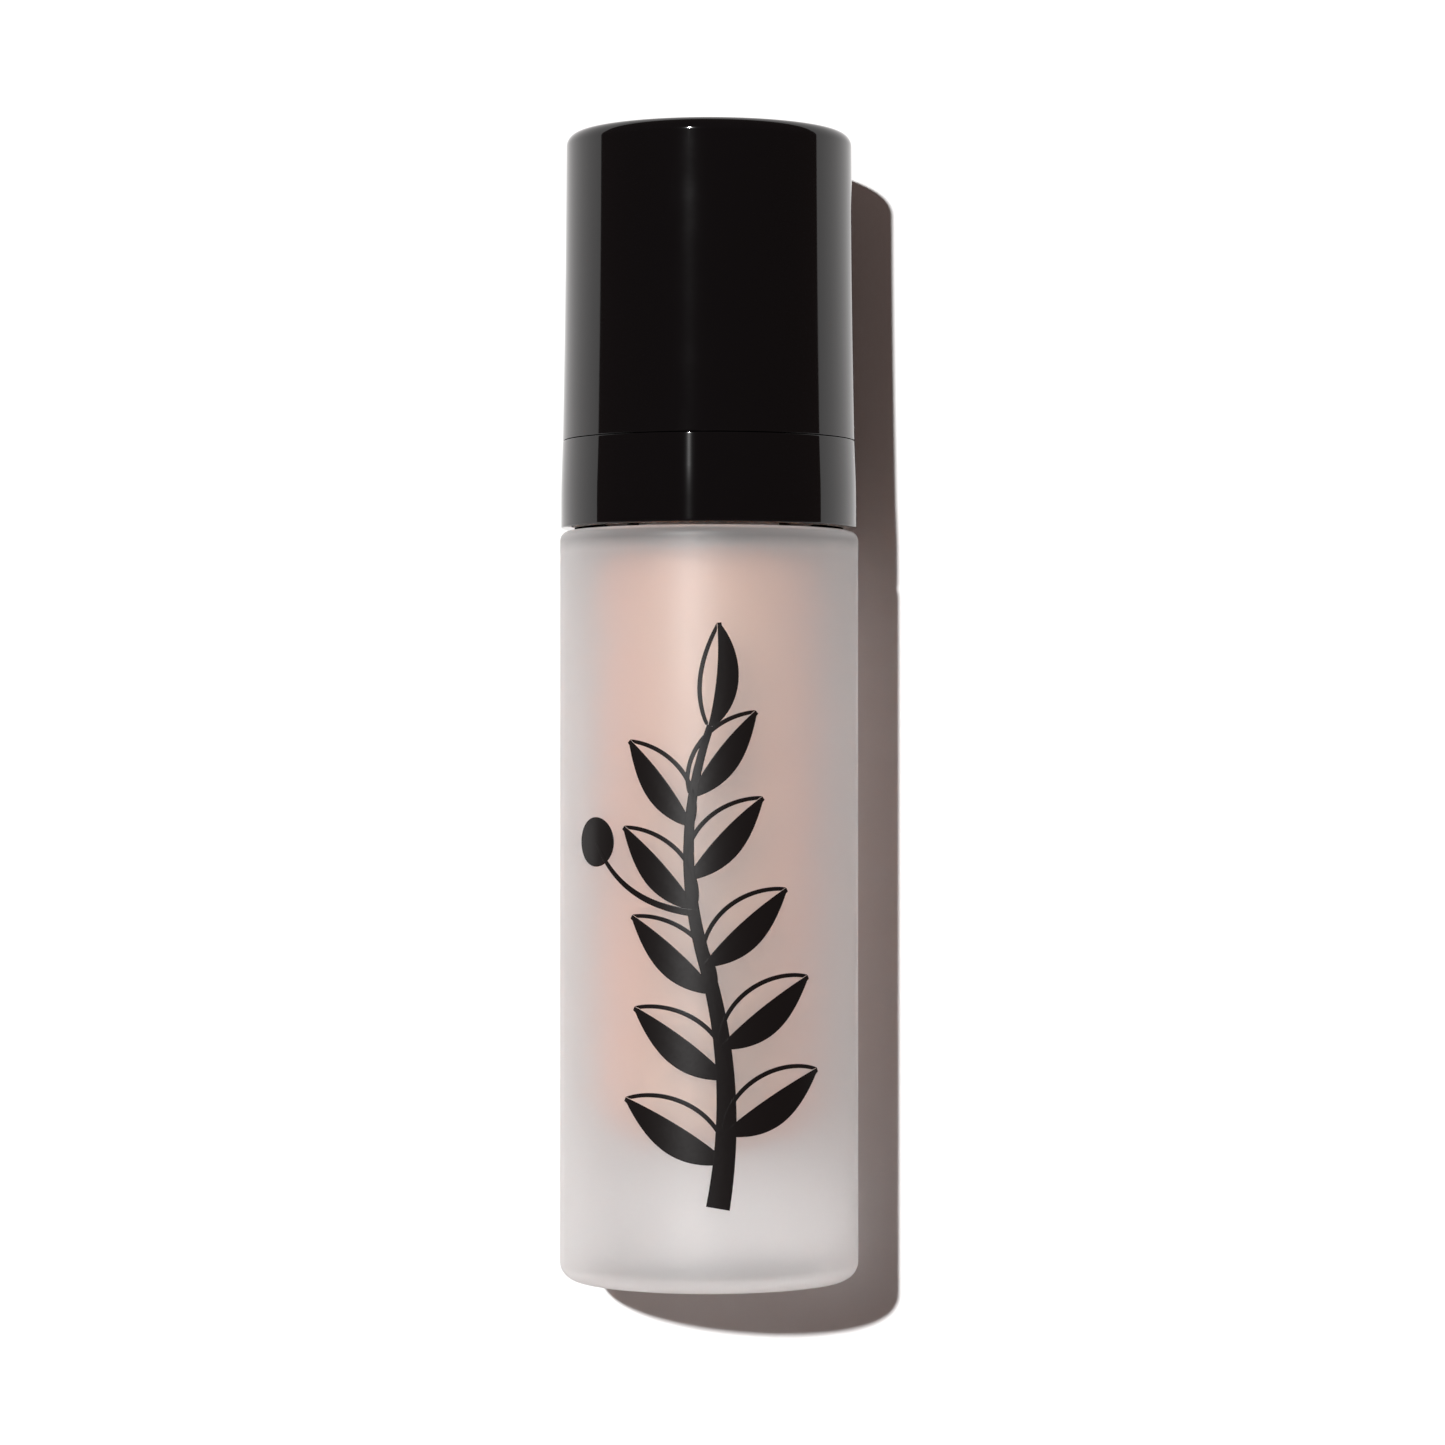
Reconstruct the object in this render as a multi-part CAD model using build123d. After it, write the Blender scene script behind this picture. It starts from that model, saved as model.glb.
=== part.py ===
from build123d import *
import math
import os

# A foundation bottle: a thick-walled glass bottle, a treatment pump held on its neck by a screw
# closure, and a pull-off overcap. Millimetres, +Z up. The origin is on the bottle's axis, on the
# plane that it stands on. An outline is a list of (radius, height, corner radius).

# ---- glass ------------------------------------------------------------------------------------
GLASS_R = 16.6                # outside of the bottle
SHOULDER_Z = 83.2             # flat top of the glass body
SHOULDER_EDGE_R = 1.1
HEEL_R = 2.0
PUNT_DEPTH = 1.2              # hollow under the base
PUNT_FLAT_R = 10.6
PUNT_RIM_R = 12.2
CAVITY_R = 8.5
CAVITY_BASE_Z = 15.0          # thick, heavy base below this
CAVITY_BASE_CORNER = 6.0
CAVITY_TOP_Z = 81.4
CAVITY_TOP_CORNER = 2.6

# ---- neck finish and its thread ------------------------------------------------------------------
NECK_R = 7.8
NECK_BORE_R = 5.5
NECK_TOP_Z = 98.4
THREAD_PITCH = 3.175
THREAD_TURNS = 1.75
THREAD_START_Z = 90.9         # middle of the ridge where it starts
NECK_CREST_R = 8.85
NECK_RIDGE_ROOT = 1.9         # ridge width at the neck wall
NECK_RIDGE_CREST = 1.1
CLOSURE_BORE_R = 9.15
CLOSURE_CREST_R = 8.15
CLOSURE_BEAD_ROOT = 1.5
CLOSURE_BEAD_CREST = 0.6
CLOSURE_BEAD_TURNS = 1.25
THREAD_SINK = 0.25            # how far a ridge is rooted into its wall

# ---- clearances ------------------------------------------------------------------------------------
RUNNING_GAP = 0.08            # stem in its guide, piston in its bore, spout in its window
PRESS_GAP = 0.02              # parts pressed or snapped together
SLIP_GAP = 0.03               # rings slid into or over one another
SEAT_GAP = 0.05               # parts that only rest beside one another

# ---- contents and label --------------------------------------------------------------------------
FILL_GAP = 0.05
FILL_TOP_Z = CAVITY_TOP_Z - CAVITY_TOP_CORNER
LABEL_R = 9.4
LABEL_THICKNESS = 0.12

# ---- pump ----------------------------------------------------------------------------------------
DIP_TUBE_R = 1.6
DIP_TUBE_BORE_R = 0.9
DIP_TUBE_BASE_Z = CAVITY_BASE_Z + 1.3
DIP_TUBE_CUT = 35.0           # slant of the tube's lower end, degrees
SOCKET_BASE_Z = 70.0          # housing socket that grips the dip tube
SOCKET_TOP_Z = 75.4
SOCKET_R = 2.6
SOCKET_SHOULDER_Z = 74.9      # the socket widens above this into the valve chamber
CHAMBER_R = 3.1
CHAMBER_BASE_Z = 75.6
CHAMBER_TOP_Z = 79.0
CYLINDER_BASE_Z = 80.7
VALVE_SEAT_Z = 76.0
CAGE_R = 1.9
CAGE_TOP_Z = 80.5
CAGE_LIP_R = 1.3
SPRING_SEAT_Z = 81.1
CYLINDER_BORE_R = 3.6
HOUSING_R = 4.8
HOUSING_FLANGE_R = 8.2
FLANGE_BASE_Z = 99.25
FLANGE_TOP_Z = 100.2
GASKET_SEAT_Z = 96.3
GASKET_BORE_R = 4.1
STEM_GASKET_THICKNESS = 0.8
VENT_HOLE_R = 0.35
VENT_HOLE_Z = 89.0
BALL_R = 1.6
STEM_R = 2.3
STEM_BORE_R = 1.2
STEM_BASE_Z = 95.5
STEM_TOP_Z = 112.0
STEM_STOP_R = 2.9
ROD_R = 1.45
ROD_FLANGE_R = 3.0
ROD_FLANGE_Z = 91.4
ROD_FLANGE_THICKNESS = 0.9
ROD_PILOT_R = 1.9              # spigot that centres the spring
ROD_PILOT_LENGTH = 2.0
FLUTE_WIDTH = 0.6              # liquid passes the rod along its flutes
FLUTE_DEPTH = 0.7
PISTON_BODY_R = 3.2
PISTON_GROOVE_R = 2.7
PISTON_CORE_R = 2.5
PISTON_LIP = 0.24
PISTON_LIP_HEIGHT = 1.0
PISTON_GROOVE_DEPTH = 0.6
ROD_TOP_Z = 99.0
SPRING_WIRE_R = 0.3
SPRING_MEAN_R = 2.7
SPRING_TURNS = 6
TURRET_R = 4.9                # cap of the housing, seen under the button
TURRET_TOP_Z = 103.4

# ---- closure, collar and overcap ---------------------------------------------------------------------
CLOSURE_R = 11.8
CLOSURE_BASE_Z = 84.0
CLOSURE_CEILING_Z = 100.3
CLOSURE_TOP_Z = 101.35
CLOSURE_HOLE_R = 5.2
COLLAR_BASE_Z = 83.5
COLLAR_BASE_R = 16.5
COLLAR_TOP_R = 16.3
COLLAR_SKIN = 1.5             # wall of the visible band
COLLAR_WEB_Z = 91.9
SEAM_Z = 93.1                 # top of the visible band
SEAM_GAP = 0.15
SLEEVE_R = 13.9               # sleeve that the overcap slides on
SLEEVE_INNER_WALL_R = 13.0
SLEEVE_TOP_Z = 102.4
COLLAR_HOLE_R = 7.6
OVERCAP_BASE_R = 16.3
OVERCAP_WAIST_R = 16.01
OVERCAP_WAIST_Z = 108.0
OVERCAP_TOP_R = 15.88
OVERCAP_TOP_Z = 127.4
OVERCAP_EDGE_R = 1.35
FLARE_R = 1900.0              # the overcap's side is a very shallow hollow curve
OVERCAP_INNER_R = 15.05
OVERCAP_ROOF = 1.4
LINER_R = 15.0
LINER_INNER_R = 14.2
LINER_BASE_Z = 93.9
LINER_ROOF = 0.75
LINER_RIB_R = 0.22
LINER_RIB_COUNT = 6

# ---- button --------------------------------------------------------------------------------------------
BUTTON_R = 9.2
BUTTON_WALL = 1.0
BUTTON_BASE_Z = 107.2
BUTTON_TOP_Z = 119.6
BUTTON_EDGE_R = 1.2
BUTTON_ROOF = 1.15            # roof thickness under the dish
DISH_R = 60.0                 # finger rest in the button's top
DISH_DEPTH = 0.5
HUB_R = 3.7
HUB_BASE_Z = 108.4
RIB_COUNT = 4
RIB_WIDTH = 1.2
RIB_BASE_Z = 109.4
CHANNEL_R = 1.0
CHANNEL_Z = 114.4
SPOUT_WIDTH = 6.0
SPOUT_HEIGHT = 5.2
SPOUT_REACH = 12.6
SPOUT_EDGE_R = 1.1
NOZZLE_R = 1.5
NOZZLE_ORIFICE_R = 0.5
NOZZLE_DEPTH = 1.8
NOZZLE_PROUD = 0.3


def rounded_outline(points):
    """Closed flat face in the XZ plane from (radius, height, corner radius) points."""
    corners = [(Vector(p[0], 0, p[1]), p[2] if len(p) > 2 else 0.0) for p in points]
    count = len(corners)
    starts = []
    ends = []
    arcs = []
    for index, (corner, radius) in enumerate(corners):
        if radius == 0.0:
            starts.append(corner)
            ends.append(corner)
            continue
        back = (corners[index - 1][0] - corner).normalized()
        ahead = (corners[(index + 1) % count][0] - corner).normalized()
        half_angle = math.radians(back.get_angle(ahead)) / 2
        reach = radius / math.tan(half_angle)
        depth = radius / math.sin(half_angle) - radius
        start = corner + back * reach
        end = corner + ahead * reach
        middle = corner + (back + ahead).normalized() * depth
        starts.append(start)
        ends.append(end)
        arcs.append(ThreePointArc(start, middle, end))
    lines = []
    for index in range(count):
        start = ends[index]
        end = starts[(index + 1) % count]
        if (end - start).length > 1e-6:
            lines.append(Line(start, end))
    return make_face(Wire(lines + arcs))


def turned(points):
    """Solid of revolution about Z."""
    return revolve(rounded_outline(points), Axis.Z)


def ring(inner_radius, outer_radius, base, top, corner=0.0):
    """Plain turned ring or tube, its outer edges rounded by corner."""
    return turned([
        (inner_radius, base),
        (outer_radius, base, corner),
        (outer_radius, top, corner),
        (inner_radius, top),
    ])


def thread_ridge(root_radius, crest_radius, root_width, crest_width, start_z, turns):
    """Right-hand thread ridge of trapezium section along the closure's pitch."""
    mean_radius = (root_radius + crest_radius) / 2
    path = Helix(pitch=THREAD_PITCH, height=THREAD_PITCH * turns, radius=mean_radius, center=(0, 0, start_z))
    root = root_radius - mean_radius
    crest = crest_radius - mean_radius
    section_plane = Plane(origin=path @ 0, x_dir=(1, 0, 0), z_dir=path % 0)
    section = make_face(Polyline(
        (root, -root_width / 2),
        (crest, -crest_width / 2),
        (crest, crest_width / 2),
        (root, root_width / 2),
        close=True,
    ))
    return sweep(section_plane * section, path=path, is_frenet=True)


def upright_box(x_size, y_size, low_z, high_z, centre=(0, 0)):
    """Box standing between two heights."""
    middle = (low_z + high_z) / 2
    return Pos(centre[0], centre[1], middle) * Box(x_size, y_size, high_z - low_z)


# ---- bottle ----------------------------------------------------------------------------------------------

def glass_bottle():
    body = turned([
        (0, PUNT_DEPTH),
        (PUNT_FLAT_R, PUNT_DEPTH, 0.8),
        (PUNT_RIM_R, 0, 0.6),
        (GLASS_R, 0, HEEL_R),
        (GLASS_R, SHOULDER_Z, SHOULDER_EDGE_R),
        (NECK_R, SHOULDER_Z, 0.8),
        (NECK_R, NECK_TOP_Z, 0.5),
        (NECK_BORE_R, NECK_TOP_Z, 0.4),
        (NECK_BORE_R, CAVITY_TOP_Z),
        (CAVITY_R, CAVITY_TOP_Z, CAVITY_TOP_CORNER),
        (CAVITY_R, CAVITY_BASE_Z, CAVITY_BASE_CORNER),
        (0, CAVITY_BASE_Z),
    ])
    ridge = thread_ridge(
        NECK_R - THREAD_SINK, NECK_CREST_R, NECK_RIDGE_ROOT, NECK_RIDGE_CREST,
        THREAD_START_Z, THREAD_TURNS,
    )
    return body + ridge


def foundation_fill():
    pump_room_r = SOCKET_R + 0.95
    tube_room_r = DIP_TUBE_R + 0.3
    return turned([
        (0, CAVITY_BASE_Z + FILL_GAP),
        (CAVITY_R - FILL_GAP, CAVITY_BASE_Z + FILL_GAP, CAVITY_BASE_CORNER - FILL_GAP),
        (CAVITY_R - FILL_GAP, FILL_TOP_Z),
        (pump_room_r, FILL_TOP_Z),
        (pump_room_r, SOCKET_BASE_Z - 0.4),
        (tube_room_r, SOCKET_BASE_Z - 0.4),
        (tube_room_r, DIP_TUBE_BASE_Z - 0.3),
        (0, DIP_TUBE_BASE_Z - 0.3),
    ])


def base_label():
    return ring(0, LABEL_R, PUNT_DEPTH - LABEL_THICKNESS, PUNT_DEPTH)


# ---- pump ------------------------------------------------------------------------------------------------

def dip_tube():
    tube = ring(DIP_TUBE_BORE_R, DIP_TUBE_R, DIP_TUBE_BASE_Z, SOCKET_TOP_Z - 0.2)
    slant = math.radians(DIP_TUBE_CUT)
    rise = DIP_TUBE_R * math.tan(slant)
    cut = Plane(origin=(0, 0, DIP_TUBE_BASE_Z + rise), z_dir=(math.sin(slant), 0, math.cos(slant)))
    return split(tube, bisect_by=cut, keep=Keep.TOP)


def pump_housing():
    seat_drop = CAGE_R - DIP_TUBE_BORE_R
    housing = turned([
        (DIP_TUBE_R + PRESS_GAP, SOCKET_BASE_Z),
        (SOCKET_R, SOCKET_BASE_Z, 0.2),
        (SOCKET_R, SOCKET_SHOULDER_Z),
        (CHAMBER_R, CHAMBER_BASE_Z),
        (CHAMBER_R, CHAMBER_TOP_Z),
        (HOUSING_R, CYLINDER_BASE_Z),
        (HOUSING_R, FLANGE_BASE_Z, 0.2),
        (HOUSING_FLANGE_R, FLANGE_BASE_Z, 0.15),
        (HOUSING_FLANGE_R, FLANGE_TOP_Z, 0.15),
        (GASKET_BORE_R, FLANGE_TOP_Z),
        (GASKET_BORE_R, GASKET_SEAT_Z),
        (CYLINDER_BORE_R, GASKET_SEAT_Z),
        (CYLINDER_BORE_R, SPRING_SEAT_Z, 0.2),
        (CAGE_LIP_R, SPRING_SEAT_Z),
        (CAGE_LIP_R, CAGE_TOP_Z),
        (CAGE_R, CAGE_TOP_Z),
        (CAGE_R, VALVE_SEAT_Z + seat_drop),
        (DIP_TUBE_BORE_R, VALVE_SEAT_Z),
        (DIP_TUBE_BORE_R, SOCKET_TOP_Z),
        (DIP_TUBE_R + PRESS_GAP, SOCKET_TOP_Z),
    ])
    wall_middle = (HOUSING_R + CYLINDER_BORE_R) / 2
    vent = Pos(wall_middle, 0, VENT_HOLE_Z) * Rot(0, 90, 0) * Cylinder(VENT_HOLE_R, 2.0)
    return housing - vent


def housing_cap():
    guide_r = STEM_R + RUNNING_GAP
    plug_base = GASKET_SEAT_Z + STEM_GASKET_THICKNESS
    return turned([
        (guide_r, plug_base),
        (GASKET_BORE_R - SLIP_GAP, plug_base, 0.2),
        (GASKET_BORE_R - SLIP_GAP, FLANGE_TOP_Z + PRESS_GAP),
        (TURRET_R, FLANGE_TOP_Z + PRESS_GAP),
        (TURRET_R, TURRET_TOP_Z, 0.5),
        (guide_r + 0.7, TURRET_TOP_Z, 0.15),
        (guide_r, TURRET_TOP_Z - 0.8),
    ])


def neck_gasket():
    return ring(NECK_BORE_R + SEAT_GAP, NECK_R + 0.2, NECK_TOP_Z + PRESS_GAP, FLANGE_BASE_Z, 0.15)


def stem_gasket():
    top = GASKET_SEAT_Z + STEM_GASKET_THICKNESS
    return ring(STEM_R + RUNNING_GAP, GASKET_BORE_R - SLIP_GAP, GASKET_SEAT_Z, top)


def return_spring():
    base = SPRING_SEAT_Z + SPRING_WIRE_R + PRESS_GAP
    top = ROD_FLANGE_Z - SPRING_WIRE_R - PRESS_GAP
    pitch = (top - base) / SPRING_TURNS
    path = Helix(pitch=pitch, height=top - base, radius=SPRING_MEAN_R, center=(0, 0, base))
    section = Plane(origin=path @ 0, x_dir=(1, 0, 0), z_dir=path % 0) * Circle(SPRING_WIRE_R)
    return sweep(section, path=path, is_frenet=True)


def ball_valve():
    # the ball rests on a 45 degree seat
    centre_z = VALVE_SEAT_Z - DIP_TUBE_BORE_R + BALL_R * math.sqrt(2) + SEAT_GAP
    return Pos(0, 0, centre_z) * Sphere(BALL_R)


def piston_seal():
    base = ROD_FLANGE_Z + ROD_FLANGE_THICKNESS + 0.1
    top = STEM_BASE_Z - 0.1
    lip_r = CYLINDER_BORE_R - RUNNING_GAP
    bore_r = ROD_R + RUNNING_GAP
    return turned([
        (bore_r, base),
        (PISTON_CORE_R, base),
        (PISTON_GROOVE_R, base + PISTON_GROOVE_DEPTH),
        (lip_r - PISTON_LIP, base),
        (lip_r, base),
        (PISTON_BODY_R, base + PISTON_LIP_HEIGHT),
        (PISTON_BODY_R, top - PISTON_LIP_HEIGHT),
        (lip_r, top),
        (lip_r - PISTON_LIP, top),
        (PISTON_GROOVE_R, top - PISTON_GROOVE_DEPTH),
        (PISTON_CORE_R, top),
        (bore_r, top),
    ])


def piston_rod():
    flange_top = ROD_FLANGE_Z + ROD_FLANGE_THICKNESS
    rod = turned([
        (0, ROD_FLANGE_Z - ROD_PILOT_LENGTH),
        (ROD_PILOT_R, ROD_FLANGE_Z - ROD_PILOT_LENGTH, 0.4),
        (ROD_PILOT_R, ROD_FLANGE_Z),
        (ROD_FLANGE_R, ROD_FLANGE_Z),
        (ROD_FLANGE_R, flange_top, 0.15),
        (ROD_R, flange_top),
        (ROD_R, ROD_TOP_Z, 0.25),
        (0, ROD_TOP_Z),
    ])
    flute = upright_box(FLUTE_DEPTH, FLUTE_WIDTH, flange_top + 0.6, ROD_TOP_Z + 0.5, (ROD_R, 0))
    for angle in (0, 90, 180, 270):
        rod -= Rot(0, 0, angle) * flute
    return rod


def pump_stem():
    return turned([
        (ROD_R + PRESS_GAP, STEM_BASE_Z),
        (STEM_STOP_R, STEM_BASE_Z, 0.15),
        (STEM_STOP_R, GASKET_SEAT_Z - 0.15),
        (STEM_R, GASKET_SEAT_Z - 0.15),
        (STEM_R, STEM_TOP_Z, 0.2),
        (STEM_BORE_R, STEM_TOP_Z),
        (STEM_BORE_R, ROD_TOP_Z + 0.3),
        (ROD_R + PRESS_GAP, ROD_TOP_Z + 0.3),
    ])


# ---- button ----------------------------------------------------------------------------------------------

def spout_block(extra=0.0):
    """Rounded bar from the axis towards -Y, grown all round by extra."""
    section = RectangleRounded(SPOUT_WIDTH + 2 * extra, SPOUT_HEIGHT + 2 * extra, SPOUT_EDGE_R + extra)
    start = Plane(origin=(0, 0, CHANNEL_Z), x_dir=(1, 0, 0), z_dir=(0, -1, 0))
    return extrude(start * section, SPOUT_REACH)


def along_spout(radius, near, far):
    """Cylinder on the channel's axis between two distances from the stem."""
    middle = -(near + far) / 2
    return Pos(0, middle, CHANNEL_Z) * Rot(90, 0, 0) * Cylinder(radius, far - near)


def actuator_core():
    roof_z = BUTTON_TOP_Z - DISH_DEPTH - BUTTON_ROOF - SEAT_GAP
    core = ring(0, HUB_R, HUB_BASE_Z, roof_z, 0.2)
    core += chamfer(spout_block().faces().sort_by(Axis.Y)[0].edges(), 0.35)
    rib_reach = BUTTON_R - BUTTON_WALL - SEAT_GAP
    for index in range(RIB_COUNT):
        angle = 45 + 90 * index
        rib = upright_box(rib_reach, RIB_WIDTH, RIB_BASE_Z, roof_z - 0.4, (rib_reach / 2, 0))
        core += Rot(0, 0, angle) * rib
    core -= ring(0, STEM_R + PRESS_GAP, HUB_BASE_Z - 1, STEM_TOP_Z + PRESS_GAP)
    core -= ring(0, STEM_BORE_R, STEM_TOP_Z - 1, CHANNEL_Z)
    core -= along_spout(CHANNEL_R, 0, SPOUT_REACH + 1)
    core -= along_spout(NOZZLE_R + PRESS_GAP, SPOUT_REACH - NOZZLE_DEPTH, SPOUT_REACH + 1)
    return core


def actuator_shell():
    inner_r = BUTTON_R - BUTTON_WALL
    shell = turned([
        (inner_r, BUTTON_BASE_Z),
        (BUTTON_R, BUTTON_BASE_Z, 0.3),
        (BUTTON_R, BUTTON_TOP_Z, BUTTON_EDGE_R),
        (0, BUTTON_TOP_Z),
        (0, BUTTON_TOP_Z - DISH_DEPTH - BUTTON_ROOF),
        (inner_r, BUTTON_TOP_Z - DISH_DEPTH - BUTTON_ROOF, 0.4),
    ])
    dish = Pos(0, 0, BUTTON_TOP_Z - DISH_DEPTH + DISH_R) * Sphere(DISH_R)
    return shell - dish - spout_block(RUNNING_GAP)


def nozzle_insert():
    near = SPOUT_REACH - NOZZLE_DEPTH + PRESS_GAP
    far = SPOUT_REACH + NOZZLE_PROUD
    insert = chamfer(along_spout(NOZZLE_R, near, far).faces().sort_by(Axis.Y)[0].edges(), 0.3)
    return insert - along_spout(NOZZLE_ORIFICE_R, near - 1, far + 1)


# ---- closure and overcap ----------------------------------------------------------------------------------

def screw_closure():
    body = turned([
        (CLOSURE_BORE_R, CLOSURE_BASE_Z),
        (CLOSURE_R, CLOSURE_BASE_Z, 0.3),
        (CLOSURE_R, CLOSURE_TOP_Z, 0.5),
        (CLOSURE_HOLE_R, CLOSURE_TOP_Z),
        (CLOSURE_HOLE_R, CLOSURE_CEILING_Z),
        (CLOSURE_BORE_R, CLOSURE_CEILING_Z, 0.3),
    ])
    bead = thread_ridge(
        CLOSURE_BORE_R + THREAD_SINK, CLOSURE_CREST_R, CLOSURE_BEAD_ROOT, CLOSURE_BEAD_CREST,
        THREAD_START_Z + THREAD_PITCH / 2, CLOSURE_BEAD_TURNS,
    )
    return body + bead


def collar_shroud():
    return turned([
        (CLOSURE_R + SLIP_GAP, COLLAR_BASE_Z + 0.6),
        (SLEEVE_INNER_WALL_R, COLLAR_BASE_Z + 0.6),
        (SLEEVE_INNER_WALL_R, COLLAR_WEB_Z, 0.3),
        (COLLAR_BASE_R - COLLAR_SKIN, COLLAR_WEB_Z, 0.3),
        (COLLAR_BASE_R - COLLAR_SKIN, COLLAR_BASE_Z),
        (COLLAR_BASE_R, COLLAR_BASE_Z, 0.25),
        (COLLAR_TOP_R, SEAM_Z, 0.25),
        (SLEEVE_R, SEAM_Z, 0.2),
        (SLEEVE_R, SLEEVE_TOP_Z, 0.8),
        (COLLAR_HOLE_R, SLEEVE_TOP_Z, 0.4),
        (COLLAR_HOLE_R, CLOSURE_TOP_Z + PRESS_GAP),
        (CLOSURE_R + SLIP_GAP, CLOSURE_TOP_Z + PRESS_GAP),
    ])


def overcap_shell():
    base_z = SEAM_Z + SEAM_GAP
    roof_z = OVERCAP_TOP_Z - OVERCAP_ROOF
    return turned([
        (OVERCAP_INNER_R, base_z),
        (OVERCAP_BASE_R, base_z, 0.25),
        (OVERCAP_WAIST_R, OVERCAP_WAIST_Z, FLARE_R),
        (OVERCAP_TOP_R, OVERCAP_TOP_Z, OVERCAP_EDGE_R),
        (0, OVERCAP_TOP_Z),
        (0, roof_z),
        (OVERCAP_INNER_R, roof_z, 0.3),
    ])


def overcap_liner():
    roof_z = OVERCAP_TOP_Z - OVERCAP_ROOF - SEAT_GAP
    liner = turned([
        (LINER_INNER_R + 0.3, LINER_BASE_Z),
        (LINER_R, LINER_BASE_Z, 0.15),
        (LINER_R, roof_z, 0.5),
        (0, roof_z),
        (0, roof_z - LINER_ROOF),
        (LINER_INNER_R, roof_z - LINER_ROOF, 0.5),
        (LINER_INNER_R, LINER_BASE_Z + 0.6),
    ])
    rib_top = SLEEVE_TOP_Z - 1.0
    for index in range(LINER_RIB_COUNT):
        rib = Pos(LINER_INNER_R, 0, LINER_BASE_Z + 1.2) * Cylinder(
            LINER_RIB_R, rib_top - LINER_BASE_Z - 1.2, align=(Align.CENTER, Align.CENTER, Align.MIN))
        liner += Rot(0, 0, 360 / LINER_RIB_COUNT * index) * rib
    return liner


NODES = [
    glass_bottle,
    foundation_fill,
    base_label,
    dip_tube,
    pump_housing,
    housing_cap,
    neck_gasket,
    stem_gasket,
    return_spring,
    ball_valve,
    piston_seal,
    piston_rod,
    pump_stem,
    actuator_core,
    actuator_shell,
    nozzle_insert,
    screw_closure,
    collar_shroud,
    overcap_shell,
    overcap_liner,
]

os.makedirs("parts", exist_ok=True)
for make_node in NODES:
    node = make_node()
    export_step(node, f"parts/{make_node.__name__}.step")
    print(f"{make_node.__name__:18} {node.volume / 1000:8.3f} cm3")
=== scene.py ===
import math

import bmesh
import bpy
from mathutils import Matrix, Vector


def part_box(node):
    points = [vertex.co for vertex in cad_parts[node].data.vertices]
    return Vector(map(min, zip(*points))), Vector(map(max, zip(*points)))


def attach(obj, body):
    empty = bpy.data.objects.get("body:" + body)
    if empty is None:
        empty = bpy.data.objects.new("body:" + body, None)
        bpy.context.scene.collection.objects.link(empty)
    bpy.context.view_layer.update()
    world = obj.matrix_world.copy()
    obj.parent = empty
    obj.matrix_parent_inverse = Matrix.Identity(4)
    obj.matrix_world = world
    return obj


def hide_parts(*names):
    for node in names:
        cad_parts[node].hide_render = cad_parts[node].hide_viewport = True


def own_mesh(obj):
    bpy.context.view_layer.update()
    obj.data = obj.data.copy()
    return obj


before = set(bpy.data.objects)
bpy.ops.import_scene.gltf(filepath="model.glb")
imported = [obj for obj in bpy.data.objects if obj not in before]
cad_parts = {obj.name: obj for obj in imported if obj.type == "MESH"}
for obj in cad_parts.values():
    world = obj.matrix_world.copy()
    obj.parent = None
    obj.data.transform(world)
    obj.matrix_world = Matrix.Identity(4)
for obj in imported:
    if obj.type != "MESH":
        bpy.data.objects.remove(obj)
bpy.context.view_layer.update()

# A foundation bottle stands upright with its back against a pale table top: thick frosted glass
# round a core of foundation, a gloss black collar and overcap, and a sprig printed on the front.
# Lengths are in metres, and outlines are lists of (radius, height, corner radius).

MM = 0.001
TURN = 2 * math.pi
SEGMENTS = 256                    # steps round a turned piece
ARC_STEP = math.radians(7.5)      # longest step along a rounded corner
SUPPORT_INSET = 0.12 * MM         # distance of a support ring from a corner's arc
SHORT_RUN = 0.2 * MM              # straight runs below this length get no support rings
RING_SPACING = 5 * MM


# ---- sizes taken from the frame ----------------------------------------------------------------

def radius_of(node):
    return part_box(node)[1].x


def base_of(node):
    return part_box(node)[0].z


def top_of(node):
    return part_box(node)[1].z


GLASS_R = radius_of("glass_bottle")
NECK_TOP = top_of("glass_bottle")
COLLAR_BASE = base_of("collar_shroud")
COLLAR_BASE_R = radius_of("collar_shroud")
SLEEVE_TOP = top_of("collar_shroud")
CAP_BASE = base_of("overcap_shell")
CAP_TOP = top_of("overcap_shell")
LINER_R = radius_of("overcap_liner")
CLOSURE_R = radius_of("screw_closure")
CLOSURE_TOP = top_of("screw_closure")
CORE_BASE = base_of("foundation_fill")
FILL_GAP = 0.05 * MM

# ---- glass -------------------------------------------------------------------------------------
SHOULDER = COLLAR_BASE - 0.3 * MM
HEEL_R = 2.0 * MM
PUNT_DEPTH = 1.2 * MM
PUNT_FLAT_R = 10.6 * MM
PUNT_RIM_R = 12.2 * MM
SHOULDER_EDGE_R = 1.1 * MM
CAVITY_R = radius_of("foundation_fill") + FILL_GAP
CAVITY_BASE = CORE_BASE - FILL_GAP
CAVITY_TOP_CORNER = 2.6 * MM
CAVITY_TOP = top_of("foundation_fill") + CAVITY_TOP_CORNER
CAVITY_BASE_CORNER = 6.0 * MM
PUMP_WELL_R = 3.55 * MM           # room in the liquid for the pump's lower end
TUBE_WELL_R = 1.9 * MM
NECK_R = 7.8 * MM
NECK_BORE_R = 5.5 * MM
THREAD_PITCH = 3.175 * MM
THREAD_TURNS = 1.75
THREAD_START = 90.9 * MM
THREAD_HEIGHT = 1.05 * MM
THREAD_HALF_CREST = 0.55 * MM
THREAD_HALF_ROOT = 0.95 * MM
PAINTED_SHADE_BAND = 2.7 * MM               # painted shade: this much glass under the shoulder is painted darker, where the collar shows through
WETTING = 0.06 * MM               # the liquid reaches this far into the cavity wall, with no air

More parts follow.
